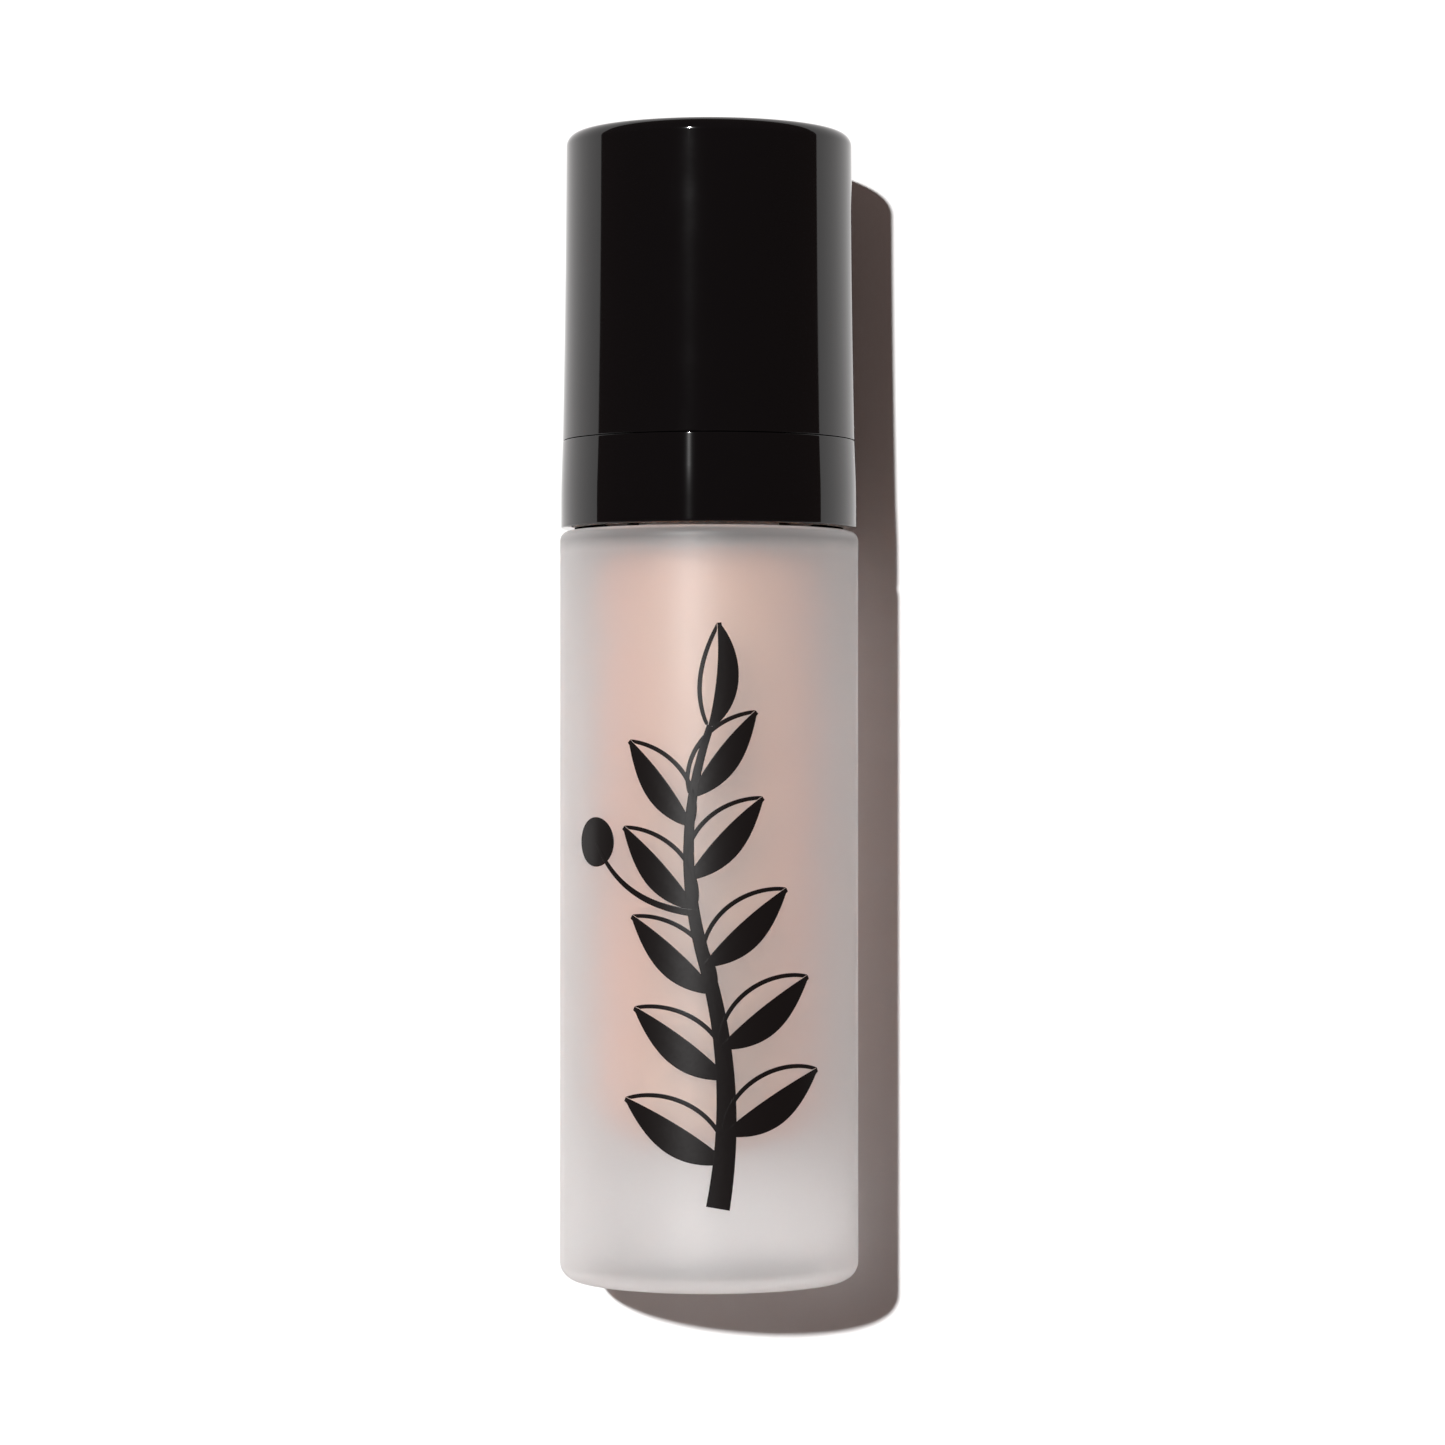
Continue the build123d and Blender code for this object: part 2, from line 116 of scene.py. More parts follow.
# ---- collar and overcap ------------------------------------------------------------------------
SEAM = CAP_BASE - 0.06 * MM
SEAM_CORNER = 0.11 * MM
COLLAR_TOP_R = 16.3 * MM
COLLAR_BELLY = COLLAR_BASE + 4.4 * MM
COLLAR_BELLY_R = 16.49 * MM
COLLAR_CURVE_R = 90.0 * MM
COLLAR_SKIN = 1.5 * MM
COLLAR_WEB = SEAM - 1.2 * MM
COLLAR_HOLE_R = 7.6 * MM
SLEEVE_R = 13.9 * MM
SLEEVE_INNER_R = 13.0 * MM
CAP_WAIST_R = 16.01 * MM
CAP_WAIST = 108.0 * MM
CAP_BASE_R = 16.3 * MM
CAP_TOP_R = 15.88 * MM
CAP_EDGE_R = 1.35 * MM
CAP_ROOF = 1.4 * MM
CAP_FLARE_R = 1900.0 * MM
CAP_INNER_R = LINER_R + 0.05 * MM

# ---- base label --------------------------------------------------------------------------------
LABEL_RING_R = 8.3 * MM
LABEL_RING_HALF = 0.12 * MM

# ---- return spring -----------------------------------------------------------------------------
WIRE_R = 0.3 * MM
SPRING_MEAN_R = radius_of("return_spring") - WIRE_R
SPRING_TURNS = 6
STEPS_A_TURN = 48
WIRE_SIDES = 14

# ---- sizes of the printed sprig ----------------------------------------------------------------
INK_HEIGHT = 0.05 * MM
INK_SINK = 0.03 * MM
INK_EDGE = 0.04 * MM
HAIRLINE = 0.5 * MM
SPRIG_FOOT = Vector((1.0, 9.4)) * MM
SPRIG_WAIST = Vector((-0.4, 36.0)) * MM
SPRIG_TIP = Vector((0.2, 61.4)) * MM
SPRIG_LOW_BEND = Vector((3.4, 23.0)) * MM
SPRIG_HIGH_BEND = Vector((-4.2, 49.0)) * MM
SPRIG_PAIRS = 5
PAIR_BASE = 14.4 * MM             # height of the lowest pair's root
PAIR_SPACING = 9.1 * MM
PAIR_STAGGER = 3.2 * MM           # the right-hand leaf of a pair roots this much higher
LEAF_LENGTH = 13.0 * MM
LEAF_WIDTH = 8.6 * MM
LEAF_BOW = 1.2 * MM
LEAF_LEAN = math.radians(60)
SHORTER_AT_TOP = 1.6 * MM
NARROWER_AT_TOP = 1.4 * MM
STEEPER_AT_TOP = math.radians(22)
STEM_STEPS = 80
BERRY = Vector((-13.8, 48.8)) * MM
BERRY_SIZE = 5.4 * MM
BERRY_ROOT = Vector((-1.2, 41.2)) * MM
BERRY_BEND = Vector((-9.6, 42.0)) * MM

# ---- camera, lamp and table --------------------------------------------------------------------
SENSOR = 36.0
VIEW_DISTANCE = 30.0 * GLASS_R
VIEW_WIDTH = 161.1 * MM           # width of the view at the bottle's axis
VIEW_SIDE = 1.5 * MM
VIEW_HEIGHT = 58.0 * MM
VIEW_AIM = 61.9 * MM              # height that the camera looks at
TABLE_HALF = 0.24
LAMP_TOWARDS = (-0.279, -1.0, 0.272)
LAMP_POWER = 3.9
LAMP_WIDTH = math.radians(1.5)
ROOM_COLOUR = (0.113, 0.081, 0.073, 1.0)
BACKDROP_COLOUR = (0.86, 0.86, 0.86, 1.0)

# ---- colours -----------------------------------------------------------------------------------
GLASS_COLOUR = (0.935, 0.92, 0.917, 1)
# painted shade of the black collar on the glass under the shoulder
PAINTED_SHADE_COLOUR = (0.05, 0.04, 0.04, 1)
CREAM_COLOUR = (0.78, 0.44, 0.275, 1)
# painted shade at the liquid's rim, where it turns away from the view; the swirls run towards this
# colour too
RIM_SHADE_AND_SWIRL_COLOUR = (0.84, 0.22, 0.09, 1)
GLOSS_COLOUR = (0.0012, 0.0012, 0.0016, 1)
RUBBED_COLOUR = (0.010, 0.009, 0.010, 1)
LABEL_COLOUR = (0.78, 0.77, 0.75, 1)
LABEL_RING_COLOUR = (0.05, 0.05, 0.05, 1)


# ---- mesh helpers ------------------------------------------------------------------------------

def rounded(outline, closed):
    """The outline's points, its corners as arcs, with support points beside each arc."""
    count = len(outline)
    spans = []
    for index, point in enumerate(outline):
        corner = Vector(point[:2])
        size = point[2] if len(point) > 2 else 0.0
        if size == 0.0:
            spans.append([corner])
            continue
        back = (Vector(outline[index - 1][:2]) - corner).normalized()
        ahead = (Vector(outline[(index + 1) % count][:2]) - corner).normalized()
        half = back.angle(ahead) / 2
        centre = corner + (back + ahead).normalized() * (size / math.sin(half))
        start = corner + back * (size / math.tan(half)) - centre
        sweep = math.pi - 2 * half
        if start.y * back.x - start.x * back.y < 0:
            sweep = -sweep
        steps = max(3, math.ceil(abs(sweep) / ARC_STEP))
        arc = []
        for step in range(steps + 1):
            angle = sweep * step / steps
            turned_x = start.x * math.cos(angle) - start.y * math.sin(angle)
            turned_y = start.x * math.sin(angle) + start.y * math.cos(angle)
            arc.append(centre + Vector((turned_x, turned_y)))
        spans.append(arc)
    points = []
    for index, span in enumerate(spans):
        points += span
        if index == count - 1 and not closed:
            break
        start = span[-1]
        run = spans[(index + 1) % count][0] - start
        spacing = outline[index][3] if len(outline[index]) > 3 else RING_SPACING
        inset = min(SUPPORT_INSET, run.length * 0.2)
        if run.length < SHORT_RUN:
            continue
        pieces = max(1, round((run.length - 2 * inset) / spacing))
        for piece in range(pieces + 1):
            distance = inset + (run.length - 2 * inset) * piece / pieces
            points.append(start + run.normalized() * distance)
    return points


def finished_object(name, mesh_data, material, sharp_degrees=34):
    """Object from a bmesh, smooth apart from its sharp edges."""
    bmesh.ops.remove_doubles(mesh_data, verts=mesh_data.verts, dist=1e-7)
    bmesh.ops.recalc_face_normals(mesh_data, faces=mesh_data.faces)
    mesh = bpy.data.meshes.new(name)
    mesh_data.to_mesh(mesh)
    mesh_data.free()
    mesh.polygons.foreach_set("use_smooth", [True] * len(mesh.polygons))
    mesh.set_sharp_from_angle(angle=math.radians(sharp_degrees))
    mesh.materials.append(material)
    piece = bpy.data.objects.new(name, mesh)
    bpy.context.collection.objects.link(piece)
    return piece


def turned(name, outline, material, raised=None):
    """Closed solid of revolution. raised(angle, height, radius) may push its wall outwards."""
    touches_axis = outline[0][0] == 0 and outline[-1][0] == 0
    points = rounded(outline, closed=not touches_axis)
    mesh_data = bmesh.new()
    rings = []
    for point in points:
        if point.x < 1e-9:
            rings.append([mesh_data.verts.new((0, 0, point.y))])
            continue
        ring = []
        for step in range(SEGMENTS):
            angle = TURN * step / SEGMENTS
            radius = point.x
            if raised is not None:
                radius += raised(angle, point.y, radius)
            place = (radius * math.cos(angle), radius * math.sin(angle), point.y)
            ring.append(mesh_data.verts.new(place))
        rings.append(ring)
    pairs = list(zip(rings, rings[1:]))
    if not touches_axis:
        pairs.append((rings[-1], rings[0]))
    for low, high in pairs:
        for step in range(SEGMENTS):
            after = (step + 1) % SEGMENTS
            if len(low) == 1:
                mesh_data.faces.new((low[0], high[after], high[step]))
            elif len(high) == 1:
                mesh_data.faces.new((low[step], low[after], high[0]))
            else:
                mesh_data.faces.new((low[step], low[after], high[after], high[step]))
    return finished_object(name, mesh_data, material)


def thread_rise(angle, height, radius):
    """How far the thread stands out from the neck's wall here."""
    if abs(radius - NECK_R) > 0.05 * MM:
        return 0.0
    rise = 0.0
    for lap in range(math.ceil(THREAD_TURNS)):
        turns = angle / TURN + lap
        if turns > THREAD_TURNS:
            continue
        away = abs(height - THREAD_START - THREAD_PITCH * turns)
        slope = (THREAD_HALF_ROOT - away) / (THREAD_HALF_ROOT - THREAD_HALF_CREST)
        run_out = min(1.0, 12 * turns, 12 * (THREAD_TURNS - turns))
        rise = max(rise, THREAD_HEIGHT * run_out * min(1.0, max(0.0, slope)))
    return rise


# ---- shader groups -----------------------------------------------------------------------------

def new_group(name, inputs, outputs):
    """Empty shader group with float inputs [(name, value)] and float outputs [name]."""
    group = bpy.data.node_groups.new(name, "ShaderNodeTree")
    for socket_name, value in inputs:
        socket = group.interface.new_socket(
            name=socket_name, in_out="INPUT", socket_type="NodeSocketFloat")
        socket.default_value = value
    for socket_name in outputs:
        group.interface.new_socket(
            name=socket_name, in_out="OUTPUT", socket_type="NodeSocketFloat")
    return group, group.nodes.new("NodeGroupInput"), group.nodes.new("NodeGroupOutput")


def noise_node(nodes, links, coordinates, scale, detail=3.0, roughness=0.5):
    node = nodes.new("ShaderNodeTexNoise")
    node.inputs["Detail"].default_value = detail
    node.inputs["Roughness"].default_value = roughness
    links.new(coordinates, node.inputs["Vector"])
    if isinstance(scale, (int, float)):
        node.inputs["Scale"].default_value = scale
    else:
        links.new(scale, node.inputs["Scale"])
    return node


def map_node(nodes, links, value, low, high, from_low=0.3, from_high=0.7):
    """Range map whose limits may be numbers or sockets."""
    node = nodes.new("ShaderNodeMapRange")
    node.inputs["From Min"].default_value = from_low
    node.inputs["From Max"].default_value = from_high
    links.new(value, node.inputs["Value"])
    for socket, limit in (("To Min", low), ("To Max", high)):
        if isinstance(limit, (int, float)):
            node.inputs[socket].default_value = limit
        else:
            links.new(limit, node.inputs[socket])
    return node


def make_even_grain():
    """Noise of one grain size, mapped between two values, and its height for a bump."""
    group, given, out = new_group(
        "even_grain", [("Scale", 1000.0), ("Low", 0.3), ("High", 0.5)], ["Value", "Height"])
    nodes, links = group.nodes, group.links
    place = nodes.new("ShaderNodeTexCoord").outputs["Object"]
    grain = noise_node(nodes, links, place, given.outputs["Scale"], detail=4.0)
    mapped = map_node(
        nodes, links, grain.outputs["Fac"], given.outputs["Low"], given.outputs["High"])
    links.new(mapped.outputs["Result"], out.inputs["Value"])
    links.new(grain.outputs["Fac"], out.inputs["Height"])
    return group


def make_handling_marks():
    """Faint smudges and fine rubbed lines that a polished cover picks up in use."""
    group, given, out = new_group(
        "handling_marks", [("Clean", 0.05), ("Smudged", 0.12), ("Line Strength", 0.03)],
        ["Roughness"])
    nodes, links = group.nodes, group.links
    place = nodes.new("ShaderNodeTexCoord").outputs["Object"]
    smudge = noise_node(nodes, links, place, 55.0, detail=5.0, roughness=0.6)
    smudged = map_node(
        nodes, links, smudge.outputs["Fac"], given.outputs["Clean"], given.outputs["Smudged"],
        0.45, 0.8)
    stretch = nodes.new("ShaderNodeMapping")
    stretch.inputs["Scale"].default_value = (1.0, 1.0, 0.06)
    links.new(place, stretch.inputs["Vector"])
    lines = noise_node(nodes, links, stretch.outputs["Vector"], 1600.0, detail=2.0)
    line_mask = map_node(
        nodes, links, lines.outputs["Fac"], 0.0, given.outputs["Line Strength"], 0.62, 0.75)
    total = nodes.new("ShaderNodeMath")
    total.operation = "ADD"
    links.new(smudged.outputs["Result"], total.inputs[0])
    links.new(line_mask.outputs["Result"], total.inputs[1])
    links.new(total.outputs["Value"], out.inputs["Roughness"])
    return group


def make_edge_rub():
    """Mask of outer edges, broken up by noise."""
    group, given, out = new_group("edge_rub", [("Reach", 0.06), ("Break Up", 900.0)], ["Mask"])
    nodes, links = group.nodes, group.links
    edge = nodes.new("ShaderNodeNewGeometry").outputs["Pointiness"]
    place = nodes.new("ShaderNodeTexCoord").outputs["Object"]
    chips = noise_node(nodes, links, place, given.outputs["Break Up"], detail=3.0)
    reach = nodes.new("ShaderNodeMath")
    reach.operation = "ADD"
    reach.inputs[0].default_value = 0.5
    links.new(given.outputs["Reach"], reach.inputs[1])
    mask = nodes.new("ShaderNodeMapRange")
    mask.inputs["From Min"].default_value = 0.5
    links.new(reach.outputs["Value"], mask.inputs["From Max"])
    links.new(edge, mask.inputs["Value"])
    broken = nodes.new("ShaderNodeMath")
    broken.operation = "MULTIPLY"
    links.new(mask.outputs["Result"], broken.inputs[0])
    links.new(chips.outputs["Fac"], broken.inputs[1])
    links.new(broken.outputs["Value"], out.inputs["Mask"])
    return group


EVEN_GRAIN = make_even_grain()
HANDLING_MARKS = make_handling_marks()
EDGE_RUB = make_edge_rub()


# ---- material helpers --------------------------------------------------------------------------

def new_material(name, **sockets):
    """Material with one Principled shader and plain values on its own sockets."""
    material = bpy.data.materials.new(name)
    material.use_nodes = True
    shader = material.node_tree.nodes["Principled BSDF"]
    for socket, value in sockets.items():
        shader.inputs[socket.replace("_", " ")].default_value = value
    return material, material.node_tree.nodes, material.node_tree.links, shader


def place_group(nodes, group, **values):
    node = nodes.new("ShaderNodeGroup")
    node.node_tree = group
    for socket, value in values.items():
        node.inputs[socket.replace("_", " ")].default_value = value
    return node


def add_bump(nodes, links, shader, height, strength, distance):
    bump = nodes.new("ShaderNodeBump")
    bump.inputs["Strength"].default_value = strength
    bump.inputs["Distance"].default_value = distance
    links.new(height, bump.inputs["Height"])
    links.new(bump.outputs["Normal"], shader.inputs["Normal"])


def blend_colours(nodes, links, shader, factor, first, second):
    """Base colour that runs from first to second with factor."""
    mix = nodes.new("ShaderNodeMix")
    mix.data_type = "RGBA"
    mix.inputs["A"].default_value = first
    mix.inputs["B"].default_value = second
    links.new(factor, mix.inputs["Factor"])
    links.new(mix.outputs["Result"], shader.inputs["Base Color"])


# ---- materials ---------------------------------------------------------------------------------

def frosted_glass():
    """Clear glass etched outside, whiter towards the edges and faintly cloudy.

    A band just under the shoulder is painted dark: painted shade standing in for the black collar
    seen through the glass.
    """
    material, nodes, links, shader = new_material(
        "frosted_glass", IOR=1.5, Transmission_Weight=0.80,
        Subsurface_Weight=1.0, Subsurface_Radius=(0.03, 0.03, 0.03), Subsurface_Scale=1.0,
        Sheen_Weight=0.48, Sheen_Roughness=1.0)
    height = nodes.new("ShaderNodeSeparateXYZ")
    links.new(nodes.new("ShaderNodeTexCoord").outputs["Object"], height.inputs["Vector"])
    clear_neck = map_node(
        nodes, links, height.outputs["Z"], 1.0, 0.0, SHOULDER - 0.4 * MM, SHOULDER)
    # painted shade: the glass's colour darkens in a band under the shoulder, and the neck is kept
    # clear of it
    painted_shade = map_node(
        nodes, links, height.outputs["Z"], 0.0, clear_neck.outputs["Result"],
        SHOULDER - PAINTED_SHADE_BAND, SHOULDER - 0.4 * PAINTED_SHADE_BAND)
    painted_shade.interpolation_type = "SMOOTHSTEP"
    blend_colours(nodes, links, shader, painted_shade.outputs["Result"], GLASS_COLOUR, PAINTED_SHADE_COLOUR)
    clouds = place_group(nodes, EVEN_GRAIN, Scale=180.0, Low=0.44, High=0.51)
    inside = nodes.new("ShaderNodeMix")
    inside.inputs["B"].default_value = 0.75
    links.new(nodes.new("ShaderNodeNewGeometry").outputs["Backfacing"], inside.inputs["Factor"])
    links.new(clouds.outputs["Value"], inside.inputs["A"])
    etch = place_group(nodes, EVEN_GRAIN, Scale=5000.0)
    links.new(inside.outputs["Result"], shader.inputs["Roughness"])
    add_bump(nodes, links, shader, etch.outputs["Height"], 0.12, 0.01 * MM)
    return material


def foundation_liquid():
    """Opaque cream with slow swirls left by the pump, and painted shade: deeper in colour where it
    turns away from the view.
    """
    material, nodes, links, shader = new_material("foundation_liquid", Roughness=0.3, IOR=1.4)
    swirl = place_group(nodes, EVEN_GRAIN, Scale=60.0, Low=-0.12, High=0.12)
    # painted shade: the colour deepens as the surface turns away from the view
    turned_away = nodes.new("ShaderNodeLayerWeight")
    turned_away.inputs["Blend"].default_value = 0.45
    rim_shade_and_swirl = nodes.new("ShaderNodeMath")
    rim_shade_and_swirl.operation = "ADD"
    rim_shade_and_swirl.use_clamp = True
    links.new(turned_away.outputs["Facing"], rim_shade_and_swirl.inputs[0])
    links.new(swirl.outputs["Value"], rim_shade_and_swirl.inputs[1])
    blend_colours(nodes, links, shader, rim_shade_and_swirl.outputs["Value"], CREAM_COLOUR, RIM_SHADE_AND_SWIRL_COLOUR)
    return material


def printed_ink():
    """Gloss black ceramic ink, slightly pitted."""
    material, nodes, links, shader = new_material(
        "printed_ink", Base_Color=(0.0065, 0.0050, 0.0050, 1), IOR=1.32)
    pits = place_group(nodes, EVEN_GRAIN, Scale=2600.0, Low=0.29, High=0.32)
    links.new(pits.outputs["Value"], shader.inputs["Roughness"])
    add_bump(nodes, links, shader, pits.outputs["Height"], 0.05, 0.01 * MM)
    return material


def piano_black(name="piano_black", clean=0.045, smudged=0.075, spun=0.0):
    """Polished black cover: mirror-like, with faint smudges, orange peel and rubbed edges.

    A spun cover has fine rings round it from its polishing, which draw its highlights out upwards.
    """
    material, nodes, links, shader = new_material(
        name, IOR=1.47, Anisotropic=spun, Anisotropic_Rotation=0.25)
    rings = nodes.new("ShaderNodeTangent")
    rings.direction_type = "RADIAL"
    rings.axis = "Z"
    links.new(rings.outputs["Tangent"], shader.inputs["Tangent"])
    marks = place_group(nodes, HANDLING_MARKS, Clean=clean, Smudged=smudged, Line_Strength=0.01)
    links.new(marks.outputs["Roughness"], shader.inputs["Roughness"])
    rub = place_group(nodes, EDGE_RUB, Reach=0.08, Break_Up=700.0)
    blend_colours(nodes, links, shader, rub.outputs["Mask"], GLOSS_COLOUR, RUBBED_COLOUR)
    peel = place_group(nodes, EVEN_GRAIN, Scale=260.0)
    add_bump(nodes, links, shader, peel.outputs["Height"], 0.05, 0.02 * MM)
    return material


def satin_plastic(name, dark, light, grain=1500.0, rough=(0.34, 0.46), bump=0.25):
    """Moulded plastic with a fine spark-eroded texture."""
    material, nodes, links, shader = new_material(name, IOR=1.48)
    texture = place_group(nodes, EVEN_GRAIN, Scale=grain, Low=rough[0], High=rough[1])
    clouds = place_group(nodes, EVEN_GRAIN, Scale=120.0, Low=0.0, High=1.0)
    links.new(texture.outputs["Value"], shader.inputs["Roughness"])
    blend_colours(nodes, links, shader, clouds.outputs["Value"], dark, light)
    add_bump(nodes, links, shader, texture.outputs["Height"], bump, 0.02 * MM)
    return material


def natural_polypropylene():
    """Milky uncoloured plastic of the pump's inner parts."""
    material = satin_plastic(
        "natural_polypropylene", (0.72, 0.74, 0.73, 1), (0.80, 0.82, 0.81, 1),
        grain=900.0, rough=(0.28, 0.40), bump=0.15)
    shader = material.node_tree.nodes["Principled BSDF"]
    shader.inputs["Subsurface Weight"].default_value = 0.35
    shader.inputs["Subsurface Radius"].default_value = (0.001, 0.001, 0.001)
    return material


def drawn_steel():
    """Bright drawn spring wire."""
    material, nodes, links, shader = new_material(
        "drawn_steel", Base_Color=(0.58, 0.58, 0.60, 1), Metallic=1.0)
    texture = place_group(nodes, EVEN_GRAIN, Scale=3200.0, Low=0.18, High=0.34)
    links.new(texture.outputs["Value"], shader.inputs["Roughness"])
    add_bump(nodes, links, shader, texture.outputs["Height"], 0.2, 0.01 * MM)
    return material


def polished_steel():
    """Polished check ball."""
    material, nodes, links, shader = new_material(
        "polished_ball_steel", Base_Color=(0.68, 0.68, 0.70, 1), Metallic=1.0)
    marks = place_group(nodes, HANDLING_MARKS, Clean=0.06, Smudged=0.12, Line_Strength=0.03)
    links.new(marks.outputs["Roughness"], shader.inputs["Roughness"])
    return material


def label_film():
    """Blank satin label with a fine printed border ring."""
    material, nodes, links, shader = new_material("label_film", IOR=1.45)
    place = nodes.new("ShaderNodeTexCoord").outputs["Object"]
    flat = nodes.new("ShaderNodeMapping")
    flat.inputs["Scale"].default_value = (1.0, 1.0, 0.0)
    links.new(place, flat.inputs["Vector"])
    distance = nodes.new("ShaderNodeVectorMath")
    distance.operation = "LENGTH"
    links.new(flat.outputs["Vector"], distance.inputs[0])
    ring = nodes.new("ShaderNodeMath")
    ring.operation = "COMPARE"
    ring.inputs[1].default_value = LABEL_RING_R
    ring.inputs[2].default_value = LABEL_RING_HALF
    links.new(distance.outputs["Value"], ring.inputs[0])
    blend_colours(nodes, links, shader, ring.outputs["Value"], LABEL_COLOUR, LABEL_RING_COLOUR)
    fibres = place_group(nodes, EVEN_GRAIN, Scale=2200.0, Low=0.36, High=0.50)
    links.new(fibres.outputs["Value"], shader.inputs["Roughness"])
    add_bump(nodes, links, shader, fibres.outputs["Height"], 0.2, 0.01 * MM)
    return material


# ---- bottle ------------------------------------------------------------------------------------

def make_glass(material):
    outline = [
        (0, PUNT_DEPTH),
        (PUNT_FLAT_R, PUNT_DEPTH, 0.8 * MM),
        (PUNT_RIM_R, 0, 0.6 * MM),
        (GLASS_R, 0, HEEL_R),
        (GLASS_R, SHOULDER, SHOULDER_EDGE_R),
        (NECK_R, SHOULDER, 0.8 * MM, 0.12 * MM),
        (NECK_R, NECK_TOP, 0.5 * MM),
        (NECK_BORE_R, NECK_TOP, 0.4 * MM),
        (NECK_BORE_R, CAVITY_TOP, 0.5 * MM),
        (CAVITY_R, CAVITY_TOP, CAVITY_TOP_CORNER),
        (CAVITY_R, CAVITY_BASE, CAVITY_BASE_CORNER),
        (0, CAVITY_BASE),
    ]
    glass = turned("frosted_bottle", outline, material, raised=thread_rise)
    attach(glass, "bottle")
    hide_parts("glass_bottle")


def make_foundation(material):
    core_r = CAVITY_R + WETTING
    low = CAVITY_BASE - WETTING
    high = CAVITY_TOP + WETTING
    well_r = NECK_BORE_R - 0.55 * MM
    pump_base = base_of("pump_housing") - 0.4 * MM
    tube_base = base_of("dip_tube") - 0.3 * MM
    outline = [
        (0, low),
        (core_r, low, CAVITY_BASE_CORNER + WETTING),
        (core_r, high, CAVITY_TOP_CORNER + WETTING),
        (well_r, high),
        (well_r, high - 2.0 * MM),
        (PUMP_WELL_R, high - 3.4 * MM),
        (PUMP_WELL_R, pump_base),
        (TUBE_WELL_R, pump_base),
        (TUBE_WELL_R, tube_base),
        (0, tube_base),
    ]
    core = turned("foundation_core", outline, material)
    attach(core, "bottle")
    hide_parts("foundation_fill")


# ---- printed sprig -----------------------------------------------------------------------------

def on_glass(across, height, proud):
    """Point on the glass: across is the way round from the front, height is above the base."""
    angle = across / GLASS_R
    radius = GLASS_R + proud
    return (radius * math.sin(angle), -radius * math.cos(angle), height)


def ink_patch(mesh_data, left, right):
    """Closed raised patch of ink between two edge lines of 2D points, its rim rounded."""
    rows = []
    for start, end in zip(left, right):
        edge = min(0.2, INK_EDGE / max((end - start).length, INK_EDGE))
        rim = (0.0, edge * 0.4, edge, edge * 1.5)
        shares = rim + (0.35, 0.5, 0.65) + tuple(1 - share for share in rim[::-1])
        rises = (0.3, 0.8, 1.0, 1.0, 1.0, 1.0, 1.0, 1.0, 1.0, 0.8, 0.3)
        tops = []
        feet = []
        for share, rise in zip(shares, rises):
            point = start.lerp(end, share)
            tops.append(mesh_data.verts.new(on_glass(point.x, point.y, INK_HEIGHT * rise)))
            feet.append(mesh_data.verts.new(on_glass(point.x, point.y, -INK_SINK)))
        rows.append(tops + feet[::-1])
    around = len(rows[0])
    for low, high in zip(rows, rows[1:]):
        for index in range(around):
            after = (index + 1) % around
            mesh_data.faces.new((low[index], low[after], high[after], high[index]))
    for row in (rows[0], rows[-1]):
        mesh_data.faces.new(row)


def bent_line(start, bend, end, steps):
    """Points along a quadratic curve and its sideways directions, which point left of its run."""
    points = []
    sides = []
    for step in range(steps + 1):
        share = step / steps
        point = start * (1 - share) ** 2 + bend * 2 * share * (1 - share) + end * share ** 2
        along = (bend - start) * (1 - share) + (end - bend) * share
        points.append(point)
        sides.append(Vector((-along.y, along.x)).normalized())
    return points, sides


def blade_width(share, fullness):
    """Half width of a leaf along its length, from its stalk (0) to its point (1)."""
    return fullness * 2.45 * (share + 0.02) ** 0.8 * (1 - share) ** 0.95


def print_leaf(mesh_data, root, angle, length, width, bow, dark_hand):
    """Pointed leaf, one half of it solid and the other a fine outline. Angle is from upright."""
    steps = 36
    tip = root + Vector((math.sin(angle), math.cos(angle))) * length
    bend = (root + tip) / 2 + Vector((math.cos(angle), -math.sin(angle))) * bow
    points, sides = bent_line(root, bend, tip, steps)
    solid_inner = []
    solid_outer = []
    line_inner = []
    line_outer = []
    for step, (point, side) in enumerate(zip(points, sides)):
        share = step / steps
        reach = width / 2 * blade_width(share, 0.92)
        solid_inner.append(point - side * dark_hand * HAIRLINE * 0.5)
        solid_outer.append(point + side * dark_hand * max(reach, HAIRLINE * 0.4))
        outline = HAIRLINE * 0.6 + reach * 0.9
        inside = HAIRLINE * 0.6 + max(0.0, reach * 0.9 - HAIRLINE)
        line_outer.append(point - side * dark_hand * outline)
        line_inner.append(point - side * dark_hand * inside)
    for inner, outer in ((solid_inner, solid_outer), (line_inner, line_outer)):
        ink_patch(mesh_data, inner, outer)


def print_stalk(mesh_data, start, bend, end, base_width, tip_width):
    """Curved stroke that changes width along its length."""
    steps = 48
    points, sides = bent_line(start, bend, end, steps)
    left = []
    right = []
    for step, (point, side) in enumerate(zip(points, sides)):
        half = (base_width + (tip_width - base_width) * step / steps) / 2
        left.append(point - side * half)
        right.append(point + side * half)
    ink_patch(mesh_data, left, right)


def print_berry(mesh_data, centre, size):
    """Filled round berry."""
    steps = 40
    left = []
    right = []
    for step in range(1, steps):
        angle = math.pi * step / steps
        reach = Vector((math.sin(angle) * size / 2, 0))
        level = centre + Vector((0, -math.cos(angle) * size / 2))
        left.append(level - reach)
        right.append(level + reach)
    ink_patch(mesh_data, left, right)


